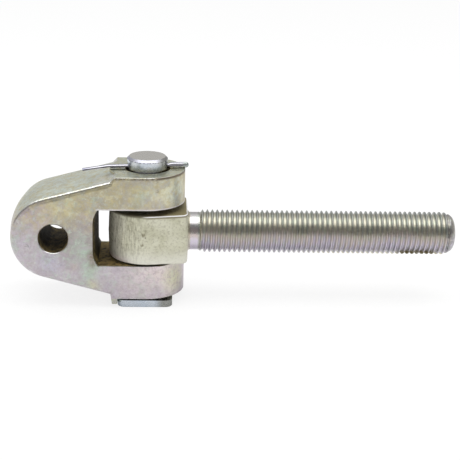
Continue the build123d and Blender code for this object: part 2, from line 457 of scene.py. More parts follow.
def ground_film(fork):
    """The film's ground: lilac low on the sides and olive high, drifting, with its patches and veins, and painted
    lighter pale green where it faces up.
    """
    drift = fork.noise(per_mm=0.05, detail=4, roughness=0.6, distortion=0.8)
    level = fork.total(fork.z, fork.product(drift, FILM_DRIFT_MM))
    film = fork.mix(fork.rise(level, *OLIVE_HEIGHT_MM), LILAC, OLIVE)
    for centre, radius, patch_colour, strength in FILM_PATCHES:
        inside = fork.spot(centre, radius, radius * PATCH_SOFTNESS)
        film = fork.tint(film, patch_colour, inside, strength)
    veins = fork.patches(0.48, 0.64, most=0.5, per_mm=0.11, detail=5, roughness=0.65, distortion=1.0)
    fewer_on_ears = fork.ramp(fork.x, *FEWER_VEINS_MM, 1.0, 0.45)
    film = fork.tint(film, MINT, veins, fewer_on_ears)
    # painted light: faces that look up are painted pale green, lighter than the sides
    on_top = fork.rise(fork.facing_z, 0.2, 0.8)
    return fork.tint(film, PALE_GREEN, on_top)


def pad_film(fork, film):
    """Greener grey with olive spots on the machined pads."""
    on_pad = fork.rise(fork.size(fork.z), pad_height_mm - 0.3, pad_height_mm - 0.1)
    film = fork.tint(film, PAD_GREY, on_pad)
    spots = fork.patches(0.44, 0.60, most=0.8, per_mm=1.0, roughness=0.7)
    return fork.tint(film, PAD_OLIVE, spots, on_pad)


def clouded_film(fork, film, high):
    """Mauve clouds, and a grain that is lilac low on the sides and straw high."""
    clouds = fork.patches(0.45, 0.65, most=0.5, per_mm=0.11, distortion=0.5)
    on_side = fork.ramp(fork.facing_z, 0.2, 0.8, 1.0, 0.3)
    more_when_high = fork.between(high, 0.3, 1.0)
    film = fork.tint(film, MAUVE, clouds, on_side, more_when_high)
    mottle = fork.patches(0.45, 0.70, most=0.16, per_mm=0.5, detail=2, roughness=0.6)
    film = fork.tint(film, PIT_BROWN, mottle)
    grains = fork.noise(per_mm=0.33, detail=5, roughness=0.8)
    deep_grains = fork.rise(grains, 0.48, 0.64, most=0.62)
    film = fork.tint(film, fork.mix(high, DEEP_LILAC, DEEP_STRAW), deep_grains)
    pale_grains = fork.fall(grains, 0.34, 0.49, most=0.38)
    return fork.tint(film, PALE_GREEN, pale_grains)


def fork_film(fork):
    """Yellow-passivated zinc in all its colours, before it is rubbed and before shade is painted into its
    recesses.
    """
    film = ground_film(fork)
    high = fork.ramp(fork.z, *STRAW_HEIGHT_MM, 0.15, 1.0)
    blotches = fork.patches(0.47, 0.63, most=0.5, per_mm=0.19, detail=2, roughness=0.5)
    film = fork.tint(film, STRAW, blotches, high)
    film = pad_film(fork, film)
    return clouded_film(fork, film, high)


def inside_outline(fork):
    """Distance in from the edge of the fork's flat faces, in millimetres."""
    height = fork.size(fork.z)
    cosine = math.cos(FLANK_ANGLE)
    sine = math.sin(FLANK_ANGLE)
    along_flank = fork.total(fork.product(fork.x, cosine), fork.product(height, sine))
    out_from_flank = fork.difference(fork.product(height, cosine), fork.product(fork.x, sine))
    on_flank = fork.rise(along_flank, -0.5, 0.5)
    out = fork.between(on_flank, fork.from_axis(fork.x, fork.z), out_from_flank)
    on_pad = fork.rise(fork.x, pad_from_mm - 3, pad_from_mm)
    inside_body = fork.difference(NOSE_RADIUS_MM, out)
    inside_pad = fork.difference(pad_height_mm, height)
    return fork.between(on_pad, inside_body, inside_pad)


def rounded_edges(fork):
    """1 on the rounding where two faces meet: side with rim on the nose, top with rim on the ears."""
    on_ears = fork.rise(fork.x, slot_from_mm - 1.5, slot_from_mm + 0.5)
    on_nose = fork.difference(1.0, on_ears)
    top_with_side = fork.size(fork.product(fork.facing_y, fork.facing_z))
    nose_rim = fork.product(fork.size(fork.product(fork.facing_x, fork.facing_y)), on_nose)
    ear_rim = fork.product(fork.size(fork.product(fork.facing_x, fork.facing_z)), on_ears)
    return fork.rise(fork.total(top_with_side, nose_rim, ear_rim), 0.28, 0.42)


def rolled_edge(fork, inside):
    """Height in millimetres of the flat faces' gentle, slightly ragged fall towards their edges."""
    ragged = fork.product(fork.noise(per_mm=0.30), EDGE_RAGGED_MM)
    on_pad = (pad_from_mm - 1, pad_from_mm)
    fall = fork.ramp(fork.x, *NOSE_EDGE_MM, -NOSE_EDGE_FALL_MM, -BODY_EDGE_FALL_MM)
    fall = fork.ramp(fork.x, *on_pad, fall, -PAD_EDGE_FALL_MM)
    reach = fork.ramp(fork.x, *on_pad, EDGE_REACH_MM, PAD_EDGE_REACH_MM)
    flat_from = fork.product(reach, EDGE_FLAT_SHARE)
    return fork.ramp(fork.total(inside, ragged), flat_from, reach, fall, 0.0)


def slot_rim_highlight(fork):
    """1 along the painted highlight where the slot's upper wall meets the flat faces."""
    above_middle = fork.difference(fork.z, slot_middle_mm)
    beyond_window = fork.rise(fork.x, slot_from_mm + 1, slot_from_mm + 4)
    below_highlight_top = fork.fall(above_middle, slot_half_mm + 0.4, slot_half_mm + 1.2)
    above_wall = fork.rise(above_middle, slot_half_mm - 0.3, slot_half_mm)
    return fork.product(beyond_window, below_highlight_top, above_wall)


def rubbed_film(fork, film, edge):
    """Bright zinc where the edges rub, less at the nose, and a painted highlight along the slot's upper rim."""
    rubbed = fork.ramp(fork.noise(per_mm=0.35), 0.42, 0.58, 0.15, 0.65)
    past_nose = fork.ramp(fork.x, *RUBBED_PAST_NOSE_MM, 0.25, 1.0)
    film = fork.tint(film, BRIGHT_ZINC, edge, rubbed, past_nose)
    # painted highlight along the slot's upper rim
    return fork.tint(film, BRIGHT_ZINC, slot_rim_highlight(fork), SLOT_RIM_HIGHLIGHT)


def rim_grime_and_shade(fork, inside):
    """Brown along the milled rim of the upper pad, thicker round the end of the ear: partly grime, partly painted
    shade that dulls the rim and darkens the ear's end.
    """
    near_rim = fork.fall(inside, *DARK_RIM_MM)
    on_pad = fork.rise(fork.x, pad_from_mm, pad_from_mm + 1)
    more_at_end = fork.rise(fork.x, *DARKER_END_MM, most=0.30)
    thickness = fork.total(fork.noise(per_mm=0.5, detail=4, roughness=0.7), more_at_end)
    patches = fork.rise(thickness, 0.45, 0.62)
    upper = fork.rise(fork.z, *UPPER_HALF_MM)
    below_pad = fork.fall(fork.facing_z, 0.75, 0.95)
    return fork.product(near_rim, on_pad, patches, upper, below_pad)


def in_slot(fork):
    """1 on the walls of the slot between the ears."""
    beyond_window = fork.rise(fork.x, slot_from_mm - 0.2, slot_from_mm + 0.2)
    from_middle = fork.size(fork.difference(fork.z, slot_middle_mm))
    on_walls = fork.fall(from_middle, slot_half_mm, slot_half_mm + 0.3)
    behind_faces = fork.fall(fork.size(fork.y), *BEHIND_FACE_MM)
    return fork.product(beyond_window, on_walls, behind_faces)


def shaded_recess_film(fork, film):
    """Painted shade in the cross bore, the slot and the pin's holes, and how much of it there is: blotchy dark
    brown and olive, lighter brown on the slot's floor, near black deep on the end wall, and grey in the holes in
    front of the pin.
    """
    in_bore = fork.fall(fork.from_axis(fork.x, fork.z), bore_radius_mm + 0.1, bore_radius_mm + 0.5)
    from_pin = fork.from_axis(fork.difference(fork.x, pin_axis_mm), fork.y)
    in_hole = fork.fall(from_pin, ear_hole_mm + 0.4, ear_hole_mm + 0.6)
    slot = in_slot(fork)
    recess = fork.math("MAXIMUM", fork.math("MAXIMUM", in_bore, slot), in_hole)
    blotches = fork.patches(0.30, 0.70, per_mm=0.25, detail=4, roughness=0.65)
    recess_shade = fork.mix(blotches, RECESS_SHADE_BROWN, RECESS_SHADE_OLIVE)
    slot_floor = fork.product(slot, fork.rise(fork.facing_z, 0.6, 0.9))
    recess_shade = fork.tint(recess_shade, SLOT_FLOOR_SHADE_BROWN, slot_floor, blotches)
    end_wall = fork.rise(fork.facing_x, 0.3, 0.6)
    deeper = fork.rise(fork.y, *DEEP_BEHIND_MM, most=0.85)
    recess_shade = fork.tint(recess_shade, END_WALL_SHADE_BLACK, end_wall, deeper)
    # painted shade in the bore, the slot and the holes
    film = fork.tint(film, recess_shade, recess)
    # grey painted shade in the holes, in front of the pin
    beside_pin = fork.size(fork.difference(fork.x, pin_axis_mm - 1))
    before_pin = fork.fall(beside_pin, *BESIDE_PIN_MM, most=0.8)
    return fork.tint(film, HOLE_SHADE_GREY, in_hole, before_pin), recess


def fork_material():
    """Yellow-passivated zinc over a shot-blasted forging, bright where its edges rub."""
    fork = Metal("fork_forging")
    edge = rounded_edges(fork)
    inside = inside_outline(fork)
    film = rubbed_film(fork, fork_film(fork), edge)
    # partly grime, partly painted shade along the upper pad's rim
    film = fork.tint(film, GRIME_AND_SHADE, rim_grime_and_shade(fork, inside), GRIME_COVER)
    film, recess = shaded_recess_film(fork, film)
    roughness = fork.cloudy(*FORK_ROUGHNESS, per_mm=0.22, detail=4)
    roughness = fork.between(edge, roughness, EDGE_ROUGHNESS)
    roughness = fork.between(recess, roughness, RECESS_ROUGHNESS)
    height = fork.total(forged_height(fork), nicks(fork, FORK_NICKS), rolled_edge(fork, inside))
    metal_share = fork.between(recess, 1.0, RECESS_METAL_SHARE)
    return fork.finish(film, roughness, height, metal_share)


# ---------------------------------------------------------------- eye
EYE_OLIVE = colour(0.66, 0.65, 0.49)
EYE_CREAM = colour(0.80, 0.79, 0.64)
PALE_CREAM = colour(0.97, 0.95, 0.80)
CREAM_WHITE = colour(0.94, 0.93, 0.85)
PALE_ROSE = colour(0.93, 0.84, 0.86)
MARK_OLIVE = colour(0.30, 0.28, 0.19)
SLOT_SHADE_OLIVE = colour(0.46, 0.43, 0.30)
UNDER_EAR_SHADE_BLACK = colour(0.03, 0.026, 0.015)
UNDER_EAR_SHADE_BROWN = colour(0.16, 0.14, 0.09)
TOP_SHADE_OLIVE = colour(0.27, 0.25, 0.11)
RIM_HIGHLIGHT_WHITE = colour(0.97, 0.97, 0.97)
CONTACT_SHADOW_BLACK = colour(0.02, 0.018, 0.012)

# Dents in the eye's skin: centre in mm, radius in mm, height in mm.
EYE_DENTS = (
    ((60.6, -26.5, 3.2), 1.0, -0.35),
    ((62.0, -26.5, 1.6), 0.7, -0.25),
    ((60.0, -26.5, -4.0), 0.9, -0.30),
    ((62.5, -26.5, 7.0), 0.8, -0.20),
    ((64.5, -26.5, 9.5), 0.6, -0.15),
    ((58.5, -26.5, 6.0), 0.6, -0.15),
    ((83.5, -26, 8.1), 1.6, -0.25),
    ((38.5, -22, 6.5), 1.0, -0.3),
    ((86.0, -26, 14.0), 1.8, -0.2),
)
# Bands across the eye, from and to, in mm.
DEEP_IN_SLOT_MM = (36.5, 40.0)
ROUND_END_MM = (42.0, 51.0)
ROSE_SIDE_MM = (46.0, 56.0)
ROUND_SIDE_MM = (56.0, 64.0)
UNDER_EAR_MM = (58.0, 64.0)
FLAT_SIDE_MM = (59.0, 65.0)
OUT_FROM_EAR_MM = (70.0, 80.0)
OVER_LOWER_EAR_MM = (74.0, 82.0)
LOW_CREAM_MM = (-18.0, -4.0)
LOW_ROSE_MM = (-17.5, -12.0)
# Bands down from the eye's top face, and up from its bottom face.
EDGE_FROM_MM = (0.3, 0.6)
EDGE_TO_MM = (1.0, 1.2)
SHADE_TO_MM = (0.8, 2.0)
RIM_SHADE_TO_MM = (1.8, 2.4)
CONTACT_SHADOW_TO_MM = (1.1, 1.6)
MARK_STRETCH = (1, 1, 0.12)  # the dressing marks run up and down
MARK_MM = 0.08
RIM_SHADE = 0.7
EYE_ROUGHNESS = (0.46, 0.58)
EYE_METAL_SHARE = (0.55, 0.02)  # on its sides and on its top, where shade is painted


def forged_eye_film(eye, marks, rounded, dents):
    """Olive and cream, paler at the round end, with dark dressing marks, mottle and dents."""
    clouds = eye.patches(0.35, 0.65, per_mm=0.07, detail=4, roughness=0.6)
    film = eye.mix(clouds, EYE_OLIVE, EYE_CREAM)
    film = eye.tint(film, PALE_CREAM, eye.fall(eye.x, *ROUND_END_MM))
    dark_marks = eye.rise(marks, 0.44, 0.60, most=0.46)
    film = eye.tint(film, MARK_OLIVE, dark_marks, rounded)
    mottle = eye.patches(0.46, 0.68, most=0.32, per_mm=0.6, roughness=0.7)
    film = eye.tint(film, PIT_BROWN, mottle)
    in_dent = eye.fall(dents, -0.3, -0.05, most=0.75)
    film = eye.tint(film, PIT_BROWN, in_dent)
    return eye.tint(film, CREAM_WHITE, eye.fall(eye.z, *LOW_CREAM_MM, most=0.6))


def slot_shade_film(eye, film):
    """Painted shade, broken by noise, where the round end sits deep in the slot."""
    deep_in_slot = eye.fall(eye.x, *DEEP_IN_SLOT_MM)
    grease = eye.ramp(eye.noise(per_mm=0.2, detail=4, roughness=0.65), 0.35, 0.60, 0.15, 0.65)
    # painted shade deep in the slot
    return eye.tint(film, SLOT_SHADE_OLIVE, deep_in_slot, grease)


def eye_top_film(eye, film):
    """The top face painted dark as shade under the upper ear, painted shade below its rim, and a painted white
    highlight along the rim.
    """
    below_top = eye.difference(eye_top_mm, eye.z)
    top_shade = eye.mix(eye.rise(eye.x, *OUT_FROM_EAR_MM), UNDER_EAR_SHADE_BLACK, TOP_SHADE_OLIVE)
    on_top = eye.rise(eye.facing_z, 0.55, 0.85)
    # painted shade on the top face, under the upper ear
    film = eye.tint(film, top_shade, on_top)
    under_ear = eye.fall(eye.x, *UNDER_EAR_MM, most=0.80)
    in_shade = eye.fall(below_top, *SHADE_TO_MM)
    film = eye.tint(film, UNDER_EAR_SHADE_BROWN, under_ear, in_shade)
    flat_side = eye.rise(eye.x, *FLAT_SIDE_MM)
    under_rim_shade = eye.fall(below_top, *RIM_SHADE_TO_MM)
    # painted shade below the top rim
    film = eye.tint(film, PIT_BROWN, under_rim_shade, flat_side, RIM_SHADE)
    below_face = eye.rise(below_top, *EDGE_FROM_MM)
    above_rim_shade = eye.fall(below_top, *EDGE_TO_MM)
    # painted highlight along the top rim
    return eye.tint(film, RIM_HIGHLIGHT_WHITE, above_rim_shade, flat_side, below_face)


def eye_bottom_film(eye, film):
    """Rose low on the round side, and a painted contact shadow where the eye rests on the lower ear."""
    low = eye.fall(eye.z, *LOW_ROSE_MM, most=0.6)
    round_side = eye.fall(eye.x, *ROSE_SIDE_MM)
    film = eye.tint(film, PALE_ROSE, low, round_side)
    above_bottom = eye.difference(eye.z, eye_bottom_mm)
    in_contact_shadow = eye.fall(above_bottom, *CONTACT_SHADOW_TO_MM)
    over_ear = eye.fall(eye.x, *OVER_LOWER_EAR_MM)
    # painted contact shadow over the lower ear
    return eye.tint(film, CONTACT_SHADOW_BLACK, in_contact_shadow, over_ear)


def eye_material():
    """The eye's forging is olive and rough, with dressing marks down its rounded side."""
    eye = Metal("eye_forging")
    along_marks = eye.vector("MULTIPLY", eye.place, MARK_STRETCH)
    marks = eye.noise(per_mm=1.0, roughness=0.7, distortion=0.4, place=along_marks)
    rounded = eye.fall(eye.x, *ROUND_SIDE_MM)
    dents = nicks(eye, EYE_DENTS)
    film = forged_eye_film(eye, marks, rounded, dents)
    film = slot_shade_film(eye, film)
    film = eye_top_film(eye, film)
    film = eye_bottom_film(eye, film)
    roughness = eye.cloudy(*EYE_ROUGHNESS, per_mm=0.3)
    height = eye.total(forged_height(eye), eye.product(marks, rounded, MARK_MM), dents)
    metal_share = eye.ramp(eye.facing_z, 0.5, 0.8, *EYE_METAL_SHARE)
    return eye.finish(film, roughness, height, metal_share)


# ---------------------------------------------------------------- thread's surface
UNDER_REFLECTION_LILAC = colour(0.74, 0.67, 0.79)
MIDDLE_REFLECTION_ROSE = colour(0.66, 0.57, 0.55)
UPPER_REFLECTION_GREY = colour(0.60, 0.58, 0.58)
ROOT_HIGHLIGHT_LILAC = colour(0.66, 0.62, 0.70)
ROOT_HIGHLIGHT_OLIVE = colour(0.66, 0.64, 0.55)
FLANK_SHADE_BLUE = colour(0.37, 0.37, 0.39)
FLANK_SHADE_BROWN = colour(0.60, 0.56, 0.50)
FLANK_SHADE_GREEN = colour(0.36, 0.38, 0.35)
CREST_SHADE_GREEN = colour(0.34, 0.35, 0.32)
END_GREY = colour(0.33, 0.31, 0.32)
RUN_OUT_GREY = colour(0.42, 0.43, 0.38)
GREASE_BROWN = colour(0.17, 0.13, 0.045)
# Bands along the rod and across it, from and to, in mm.
OUTER_HALF_MM = (150.0, 200.0)
LOWEST_CRESTS_MM = (-15.8, -13.4)
FREE_END_MM = (thread_end_mm - 1, thread_end_mm + 1)
THREADED_MM = (thread_start_mm - 1, thread_start_mm + 1)
RUN_OUT_FROM_MM = (thread_start_mm - 2.6, thread_start_mm - 1.2)
FOOT_MM = (eye_end_mm + 0.6, eye_end_mm + 1.6)
GREASE_AT_MM = 253.0  # where old grease stains the underside of the thread
GREASE_REACH_MM = (9.0, 17.0)
GREASE_HEIGHT_MM = (-13.6, -9.8)
# Bands down from the crests.
BELOW_CREST_MM = (0.15, 0.4)
ABOVE_ROOT_MM = (1.1, 1.6)
IN_ROOT_MM = (1.1, 1.7)
FILM_DRIFT = 0.15  # of how far up the surface faces
ROD_ROUGHNESS = (0.20, 0.28)
RUN_OUT_COVER = 0.8
THREAD_ROUGHER = 0.11
GREASE_ROUGHER = 0.3
THREAD_GRAIN_MM = 0.004


def thread_painted_light(rod, facing, threaded):
    """Colours set by which way the rod's surface faces, a painted reflection of the bright and dark bands; on the
    thread, painted highlights in the roots and painted shade on the flanks and the crests' upper side.
    """
    from_rod_axis = rod.from_axis(rod.y, rod.difference(rod.z, rod_height_mm))
    depth = rod.difference(thread_radius_mm, from_rod_axis)
    # painted reflection: colours by which way the surface faces
    film = rod.mix(rod.rise(facing, -0.35, -0.05), UNDER_REFLECTION_LILAC, MIDDLE_REFLECTION_ROSE)
    film = rod.tint(film, UPPER_REFLECTION_GREY, rod.rise(facing, 0.20, 0.45))
    root_highlight = rod.mix(rod.rise(facing, -0.20, 0.25), ROOT_HIGHLIGHT_LILAC, ROOT_HIGHLIGHT_OLIVE)
    # painted highlight in the roots
    film = rod.tint(film, root_highlight, rod.rise(depth, *IN_ROOT_MM), threaded)
    flank_shade = rod.mix(rod.rise(facing, -0.30, -0.10), FLANK_SHADE_BLUE, FLANK_SHADE_BROWN)
    flank_shade = rod.tint(flank_shade, FLANK_SHADE_GREEN, rod.rise(facing, 0.15, 0.35))
    below_crest = rod.rise(depth, *BELOW_CREST_MM, most=0.85)
    above_root = rod.fall(depth, *ABOVE_ROOT_MM)
    # painted shade on the flanks
    film = rod.tint(film, flank_shade, below_crest, above_root, threaded)
    on_crest = rod.fall(depth, *BELOW_CREST_MM, most=0.85)
    upper_side = rod.rise(facing, 0.1, 0.35)
    # painted shade on the crests' upper side
    return rod.tint(film, CREST_SHADE_GREEN, on_crest, upper_side, threaded)


def rod_ends_film(rod, film, threaded):
    """Straw on the lowest crests, dirt on the free end, a grey run-out and an olive foot."""
    lowest = rod.fall(rod.z, *LOWEST_CRESTS_MM, most=0.9)
    outer_half = rod.rise(rod.x, *OUTER_HALF_MM)
    film = rod.tint(film, STRAW, lowest, outer_half)
    free_end = rod.rise(rod.x, *FREE_END_MM)
    dirt = rod.ramp(rod.noise(per_mm=0.5, detail=4, roughness=0.7), 0.40, 0.60, 0.25, 0.9)
    film = rod.tint(film, END_GREY, free_end, dirt)
    run_out = rod.math("SUBTRACT", rod.rise(rod.x, *RUN_OUT_FROM_MM), threaded, clamp=True)
    film = rod.tint(film, RUN_OUT_GREY, run_out, RUN_OUT_COVER)
    beside_eye = rod.fall(rod.x, *FOOT_MM, most=0.7)
    return rod.tint(film, OLIVE, beside_eye)


def grease_stain(rod):
    """Patchy old grease under the thread, not far from its end."""
    from_middle = rod.size(rod.difference(rod.x, GREASE_AT_MM))
    along = rod.fall(from_middle, *GREASE_REACH_MM)
    below = rod.fall(rod.z, *GREASE_HEIGHT_MM)
    patches = rod.patches(0.30, 0.48, per_mm=0.4, detail=4)
    return rod.product(along, below, patches)


def thread_material():
    """Turned neck and rolled thread: painted reflections, highlights and shade in its colours, and grime near the
    end.
    """
    rod = Metal("rolled_thread")
    facing = rod.total(rod.facing_z, rod.cloudy(-FILM_DRIFT, FILM_DRIFT, per_mm=0.05))
    threaded = rod.rise(rod.x, *THREADED_MM)
    grease = grease_stain(rod)
    film = thread_painted_light(rod, facing, threaded)
    film = rod_ends_film(rod, film, threaded)
    green_clouds = rod.patches(0.45, 0.7, most=0.25, per_mm=0.3, detail=4)
    film = rod.tint(film, MINT, green_clouds)
    film = rod.tint(film, GREASE_BROWN, grease)
    roughness = rod.total(
        rod.cloudy(*ROD_ROUGHNESS, per_mm=0.6),
        rod.product(threaded, THREAD_ROUGHER),
        rod.product(grease, GREASE_ROUGHER),
    )
    height = rod.product(rod.noise(per_mm=1.0, roughness=0.6), THREAD_GRAIN_MM)
    return rod.finish(film, roughness, height)


# ---------------------------------------------------------------- headed pin
TURNED_ZINC = colour(0.78, 0.79, 0.79)
TURNED_BLUE = colour(0.66, 0.72, 0.80)
HEAD_BLUE = colour(0.60, 0.68, 0.78)
CHAMFER_GREY = colour(0.44, 0.43, 0.50)
CHAMFER_LINE_BLACK = colour(0.12, 0.11, 0.12)
ROD_SIDE_SHADE_OLIVE = colour(0.30, 0.30, 0.27)
FOOT_SHADE_OLIVE = colour(0.46, 0.46, 0.42)
DULL_ZINC = colour(0.68, 0.66, 0.61)
# Bands up the headed pin and out from its axis, from and to, in mm.
HEAD_MM = (-44.0, -42.0)
ABOVE_EAR_MM = (38.0, 40.0)
NEAR_PAD_MM = (44.0, 47.5)
CHAMFER_LINE_FROM_MM = (chamfer_foot_mm - 0.5, chamfer_foot_mm - 0.3)
CHAMFER_LINE_TO_MM = (chamfer_foot_mm, chamfer_foot_mm + 0.1)
ROD_SIDE_MM = (4.5, 12.0)
PIN_ROUGHNESS = (0.20, 0.30)
CHAMFER_COVER = 0.75
CHAMFER_ROUGHER = 0.08
TURNING_MM = 0.006
DING_MM = 0.02


def pin_film(pin, on_chamfer):
    """Bright zinc that is bluer on the head, with a broken black line under the chamfer, painted shade on the side
    towards the rod and painted shade at the foot by the pad.
    """
    clouds = pin.patches(0.35, 0.65, per_mm=0.12, detail=4)
    film = pin.mix(clouds, TURNED_ZINC, TURNED_BLUE)
    on_head = pin.fall(pin.z, *HEAD_MM, most=0.7)
    film = pin.tint(film, HEAD_BLUE, on_head)
    film = pin.tint(film, CHAMFER_GREY, on_chamfer, CHAMFER_COVER)
    line_from = pin.rise(pin.z, *CHAMFER_LINE_FROM_MM)
    line_to = pin.fall(pin.z, *CHAMFER_LINE_TO_MM)
    broken = pin.patches(0.42, 0.52, per_mm=0.6)
    film = pin.tint(film, CHAMFER_LINE_BLACK, line_from, line_to, broken)
    # painted shade on the side towards the rod
    rod_side = pin.rise(pin.x, *ROD_SIDE_MM, most=0.9)
    film = pin.tint(film, ROD_SIDE_SHADE_OLIVE, rod_side)
    # painted shade at the foot, by the pad
    above_ear = pin.rise(pin.z, *ABOVE_EAR_MM)
    near_pad = pin.fall(pin.z, *NEAR_PAD_MM, most=0.5)
    film = pin.tint(film, FOOT_SHADE_OLIVE, above_ear, near_pad)
    on_top = pin.rise(pin.facing_z, 0.85, 0.97)
    return pin.tint(film, DULL_ZINC, on_top)


def pin_material():
    """Turned and bright-zinc-plated steel: faint rings round the pin's own axis."""
    pin = Metal("turned_pin", origin_mm=(pin_axis_mm, 0, 0))
    above_side = pin.rise(pin.facing_z, 0.4, 0.6)
    below_top = pin.fall(pin.facing_z, 0.8, 0.9)
    on_chamfer = pin.product(above_side, below_top)
    clouded = pin.cloudy(*PIN_ROUGHNESS, per_mm=0.5, detail=4)
    roughness = pin.total(clouded, pin.product(on_chamfer, CHAMFER_ROUGHER))
    out_and_up = pin.node("CombineXYZ", X=pin.from_axis(pin.x, pin.y), Y=pin.z).outputs[0]
    rings = pin.noise(per_mm=1.6, detail=2, roughness=0.6, place=out_and_up)
    dings = pin.ramp(pin.cells(per_mm=0.15), 0.02, 0.08, -DING_MM, 0.0)
    height = pin.total(pin.product(rings, TURNING_MM), dings)
    return pin.finish(pin_film(pin, on_chamfer), roughness, height)


# ---------------------------------------------------------------- split pin
WIRE_GREY = colour(0.60, 0.59, 0.64)
WIRE_BRIGHT = colour(0.76, 0.76, 0.80)
WIRE_TOP_REFLECTION_BLUE = colour(0.15, 0.15, 0.19)
DARK_REFLECTION_BLUE = colour(0.20, 0.20, 0.30)
PARTING_SHADE_BLACK = colour(0.10, 0.09, 0.12)
WIRE_END_GREEN = colour(0.42, 0.47, 0.44)
WIRE_PARTING_MM = 45.2  # height at which the split pin's two legs meet
# Bands along the wire and away from the parting, from and to, in mm.
LOOP_MM = (20.0, 28.0)
BEYOND_LOOP_MM = (30.0, 34.0)
CUT_END_MM = (87.2, 88.0)
PARTING_MM = (0.25, 0.45)
WIRE_ROUGHNESS = (0.14, 0.24)
DRAWN_STRETCH = (0.15, 1, 1)  # the drawing marks run along the wire
DRAWN_MM = 0.006


def wire_material():
    """Bright-zinc-plated soft wire with drawing marks along it, a painted dark reflection on its top and at the
    long leg's end, and painted shade where its legs meet.
    """
    wire = Metal("split_pin_wire")
    along_wire = wire.vector("MULTIPLY", wire.place, DRAWN_STRETCH)
    marks = wire.noise(per_mm=1.5, detail=4, roughness=0.6, place=along_wire)
    film = wire.mix(marks, WIRE_GREY, WIRE_BRIGHT)
    # painted dark reflection along the wire's top
    on_top = wire.rise(wire.facing_z, 0.70, 0.90, most=0.8)
    film = wire.tint(film, WIRE_TOP_REFLECTION_BLUE, on_top)
    # painted dark reflection at the long leg's end
    on_loop = wire.fall(wire.x, *LOOP_MM, most=0.6)
    film = wire.tint(film, DARK_REFLECTION_BLUE, on_loop)
    # painted shade in the parting where the legs meet
    from_parting = wire.size(wire.difference(wire.z, WIRE_PARTING_MM))
    parting = wire.fall(from_parting, *PARTING_MM, most=0.9)
    beyond_loop = wire.rise(wire.x, *BEYOND_LOOP_MM)
    film = wire.tint(film, PARTING_SHADE_BLACK, parting, beyond_loop)
    cut_end = wire.rise(wire.x, *CUT_END_MM, most=0.8)
    film = wire.tint(film, WIRE_END_GREEN, cut_end)
    roughness = wire.ramp(marks, *NOISE_MIDDLE, *WIRE_ROUGHNESS)
    return wire.finish(film, roughness, wire.product(marks, DRAWN_MM))


# ---------------------------------------------------------------- thread's shape
PITCH_MM = 3.5
THREAD_DEPTH_MM = 0.6134 * PITCH_MM  # an ISO metric external thread's depth
CREST_FLAT_MM = PITCH_MM / 8
FLANK_STEEPNESS = math.sqrt(3)  # of a 60 degree thread
ROOT_ROUND_MM = 0.5
EDGE_ROUND_MM = 0.6
THREAD_HAND = -1  # left-hand
FIRST_CREST_MM = 101.4  # where a crest crosses the top of the rod
TOP_OF_ROD = 0.25  # of a turn
RUN_OUT_MM = 1.8
NECK_RADIUS_MM = 13.2
NECK_FILLET_MM = 0.9
CHAMFER_DEPTH_MM = 3.0
END_EDGE_MM = 6.0
CUT_BEYOND_EYE_MM = 0.05
ROD_INSIDE_EYE_MM = 0.4
TURN_STEPS = 96
PITCH_STEPS = 14

cut_mm = eye_end_mm + CUT_BEYOND_EYE_MM
rod_from_mm = eye_end_mm - ROD_INSIDE_EYE_MM
chamfer_lean = math.atan2(CHAMFER_DEPTH_MM, rod_end_mm - thread_end_mm)
edge_centre_mm = rod_end_mm - END_EDGE_MM
edge_from_mm = edge_centre_mm + END_EDGE_MM * math.sin(chamfer_lean)


def smooth_least(first, second, blend):
    """The lesser of two values, rounded where they meet."""
    share = max(blend - abs(first - second), 0.0) / blend
    return min(first, second) - share * share * blend / 4


def groove_depth(from_crest_mm):
    """Depth of the thread below its crest, at a distance along the rod from the crest."""
    flank = max(abs(from_crest_mm) - CREST_FLAT_MM / 2, 0.0) * FLANK_STEEPNESS
    return smooth_least(flank, THREAD_DEPTH_MM, ROOT_ROUND_MM)


def end_outline_mm(x_mm):
    """Radius of the chamfer and the rounded edge at the rod's free end."""
    if x_mm < edge_from_mm:
        return thread_radius_mm - (x_mm - thread_end_mm) * math.tan(chamfer_lean)
    centre_radius = end_outline_mm(edge_centre_mm) - END_EDGE_MM / math.cos(chamfer_lean)
    return centre_radius + math.sqrt(max(END_EDGE_MM ** 2 - (x_mm - edge_centre_mm) ** 2, 0.0))


def neck_fillet_mm(x_mm):
    """How much the fillet at the eye's flat end adds to the neck's radius."""
    inside = min(max(NECK_FILLET_MM - (x_mm - eye_end_mm), 0.0), NECK_FILLET_MM)
    return NECK_FILLET_MM - math.sqrt(NECK_FILLET_MM ** 2 - inside ** 2)


def thread_surface_mm(x_mm, turn):
    """Radius of the threaded rod at a place along it and round it."""
    turns_from_top = turn / (2 * math.pi) - TOP_OF_ROD
    phase = (x_mm - FIRST_CREST_MM) / PITCH_MM - THREAD_HAND * turns_from_top
    from_crest_mm = (phase - round(phase)) * PITCH_MM
    threaded = min(max((x_mm - thread_start_mm + RUN_OUT_MM) / PITCH_MM, 0.0), 1.0)
    thread_mm = thread_radius_mm - groove_depth(from_crest_mm)
    radius = NECK_RADIUS_MM + (thread_mm - NECK_RADIUS_MM) * threaded + neck_fillet_mm(x_mm)
    return smooth_least(radius, end_outline_mm(x_mm), EDGE_ROUND_MM)


def thread_ring(shape, x_mm):
    """One ring of points round the rod."""
    ring = []
    for step in range(TURN_STEPS):
        turn = 2 * math.pi * step / TURN_STEPS
        radius = thread_surface_mm(x_mm, turn)
        y_mm = radius * math.cos(turn)
        z_mm = rod_height_mm + radius * math.sin(turn)
        ring.append(shape.verts.new((x_mm * MM, y_mm * MM, z_mm * MM)))
    return ring


def smooth_mesh(name, shape):
    """A mesh with smooth shading from a bmesh, which is freed."""
    mesh = bpy.data.meshes.new(name)
    shape.to_mesh(mesh)
    shape.free()
    mesh.shade_smooth()
    return mesh


